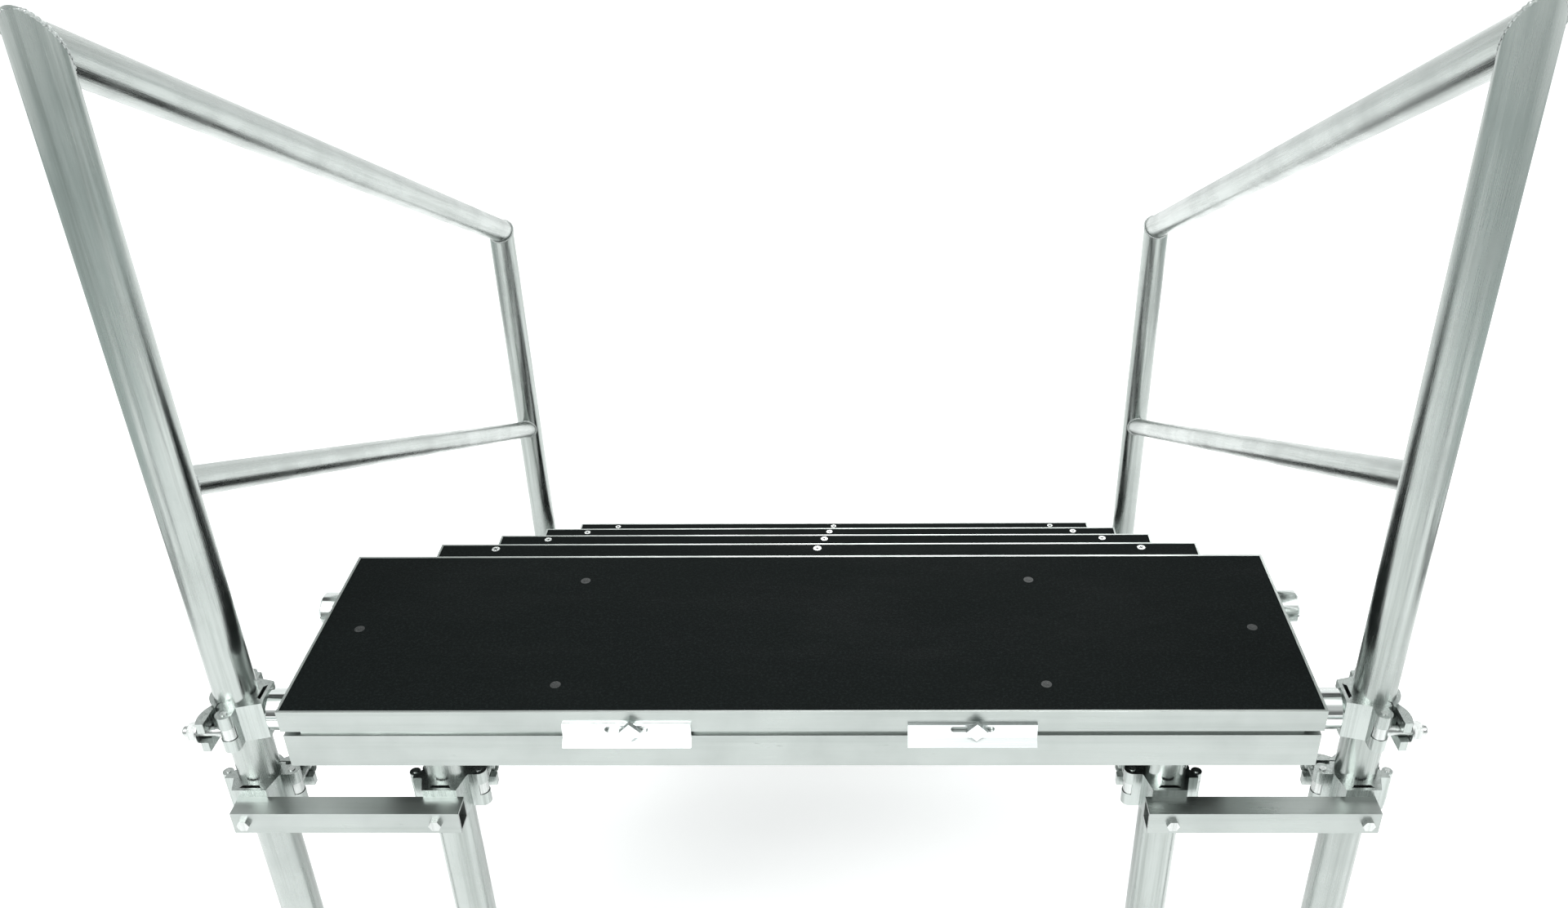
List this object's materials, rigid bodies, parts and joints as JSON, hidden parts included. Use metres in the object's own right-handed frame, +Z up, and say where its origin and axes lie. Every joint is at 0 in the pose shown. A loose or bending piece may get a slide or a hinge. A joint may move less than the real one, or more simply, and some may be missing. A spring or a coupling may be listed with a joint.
{
  "type": "modular stage stair",
  "caption": "Aluminium stage stair with black anti-slip boards, tubular handrails held in half couplers, legs, spacer bars and sliding locking plates.",
  "frame": {"origin": "on the floor, below the middle of the bounding box", "axes": "+Z up; +Y down the stair, away from the top tread; +X to the right for a person who goes down the stair"},
  "size_m": [1.398, 1.5004, 1.6546],
  "materials": {
    "deck_board": "matt, fine anti-slip grain",
    "mill_aluminium": "mill, lightly streaked",
    "handrail_aluminium": "drawn tube, streaked and scuffed",
    "polished_aluminium": "turned and polished",
    "cast_aluminium": "bright, deburred",
    "bright_plate": "bright white metal",
    "zinc_steel": "zinc plated",
    "black_screws": "blackened",
    "black_plastic": "matt, moulded",
    "rubber": "matt"
  },
  "bodies": {
    "stair_frame": {"tread_board_1": "deck_board", "tread_frame_1": "mill_aluminium", "cross_tubes_1": "mill_aluminium", "tread_board_2": "deck_board", "tread_frame_2": "mill_aluminium", "cross_tubes_2": "mill_aluminium", "tread_board_3": "deck_board", "tread_frame_3": "mill_aluminium", "cross_tubes_3": "mill_aluminium", "tread_board_4": "deck_board", "tread_frame_4": "mill_aluminium", "cross_tubes_4": "mill_aluminium", "tread_board_5": "deck_board", "tread_frame_5": "mill_aluminium", "cross_tubes_5": "mill_aluminium", "board_screws_top": "black_screws", "board_screws_steps": "zinc_steel", "locking_bolts": "zinc_steel", "bar_bolts": "zinc_steel", "stub_bolts": "zinc_steel", "coupler_pins": "zinc_steel", "board_battens": "mill_aluminium", "rear_cross_rail": "mill_aluminium", "rail_spacer": "mill_aluminium", "stringer_left": "mill_aluminium", "stringer_right": "mill_aluminium", "bracket_plates_left": "mill_aluminium", "bracket_plates_right": "mill_aluminium", "leg_left": "mill_aluminium", "leg_right": "mill_aluminium", "rear_spreader": "mill_aluminium", "front_spreader": "mill_aluminium", "spacer_bar_left": "mill_aluminium", "spacer_bar_right": "mill_aluminium", "leg_feet": "rubber", "stringer_feet": "rubber", "end_stubs": "polished_aluminium", "end_plugs": "black_plastic", "coupler_bases": "cast_aluminium", "coupler_straps": "cast_aluminium"},
    "handrail_left": {"near_post_left": "handrail_aluminium", "far_post_left": "handrail_aluminium", "top_rail_left": "handrail_aluminium", "mid_rail_left": "handrail_aluminium", "post_ferrules_left": "rubber"},
    "locking_plate_left": {"locking_plate_left": "bright_plate"},
    "swing_bolt_upper_left": {"swing_bolt_upper_left": "zinc_steel"},
    "swing_bolt_lower_left": {"swing_bolt_lower_left": "zinc_steel"},
    "swing_bolt_leg_left": {"swing_bolt_leg_left": "zinc_steel"},
    "swing_bolt_far_left": {"swing_bolt_far_left": "zinc_steel"},
    "handrail_right": {"near_post_right": "handrail_aluminium", "far_post_right": "handrail_aluminium", "top_rail_right": "handrail_aluminium", "mid_rail_right": "handrail_aluminium", "post_ferrules_right": "rubber"},
    "locking_plate_right": {"locking_plate_right": "bright_plate"},
    "swing_bolt_upper_right": {"swing_bolt_upper_right": "zinc_steel"},
    "swing_bolt_lower_right": {"swing_bolt_lower_right": "zinc_steel"},
    "swing_bolt_leg_right": {"swing_bolt_leg_right": "zinc_steel"},
    "swing_bolt_far_right": {"swing_bolt_far_right": "zinc_steel"}
  },
  "joints": [
    {"name": "handrail_lift_left", "type": "slide", "parent": "stair_frame", "child": "handrail_left", "axis": [0, 0, 1], "range_m": [0, 0.06]},
    {"name": "handrail_lift_right", "type": "slide", "parent": "stair_frame", "child": "handrail_right", "axis": [0, 0, 1], "range_m": [0, 0.06]},
    {"name": "locking_plate_slide_left", "type": "slide", "parent": "stair_frame", "child": "locking_plate_left", "axis": [1, 0, 0], "range_m": [-0.016, 0.025]},
    {"name": "locking_plate_slide_right", "type": "slide", "parent": "stair_frame", "child": "locking_plate_right", "axis": [1, 0, 0], "range_m": [-0.016, 0.025]},
    {"name": "swing_upper_left", "type": "hinge", "parent": "stair_frame", "child": "swing_bolt_upper_left", "pos_m": [-0.648, -0.71185, 0.86], "axis": [0, 0, 1], "range_deg": [0, 90]},
    {"name": "swing_lower_left", "type": "hinge", "parent": "stair_frame", "child": "swing_bolt_lower_left", "pos_m": [-0.61, -0.67385, 0.742], "axis": [0, 0, -1], "range_deg": [0, 90]},
    {"name": "swing_leg_left", "type": "hinge", "parent": "stair_frame", "child": "swing_bolt_leg_left", "pos_m": [-0.387, -0.67385, 0.742], "axis": [0, 0, -1], "range_deg": [0, 90]},
    {"name": "swing_far_left", "type": "hinge", "parent": "stair_frame", "child": "swing_bolt_far_left", "pos_m": [-0.648, 0.66415, 0.132], "axis": [0, 0, 1], "range_deg": [0, 90]},
    {"name": "swing_upper_right", "type": "hinge", "parent": "stair_frame", "child": "swing_bolt_upper_right", "pos_m": [0.648, -0.71185, 0.86], "axis": [0, 0, -1], "range_deg": [0, 90]},
    {"name": "swing_lower_right", "type": "hinge", "parent": "stair_frame", "child": "swing_bolt_lower_right", "pos_m": [0.61, -0.67385, 0.742], "axis": [0, 0, 1], "range_deg": [0, 90]},
    {"name": "swing_leg_right", "type": "hinge", "parent": "stair_frame", "child": "swing_bolt_leg_right", "pos_m": [0.387, -0.67385, 0.742], "axis": [0, 0, 1], "range_deg": [0, 90]},
    {"name": "swing_far_right", "type": "hinge", "parent": "stair_frame", "child": "swing_bolt_far_right", "pos_m": [0.648, 0.66415, 0.132], "axis": [0, 0, -1], "range_deg": [0, 90]}
  ]
}
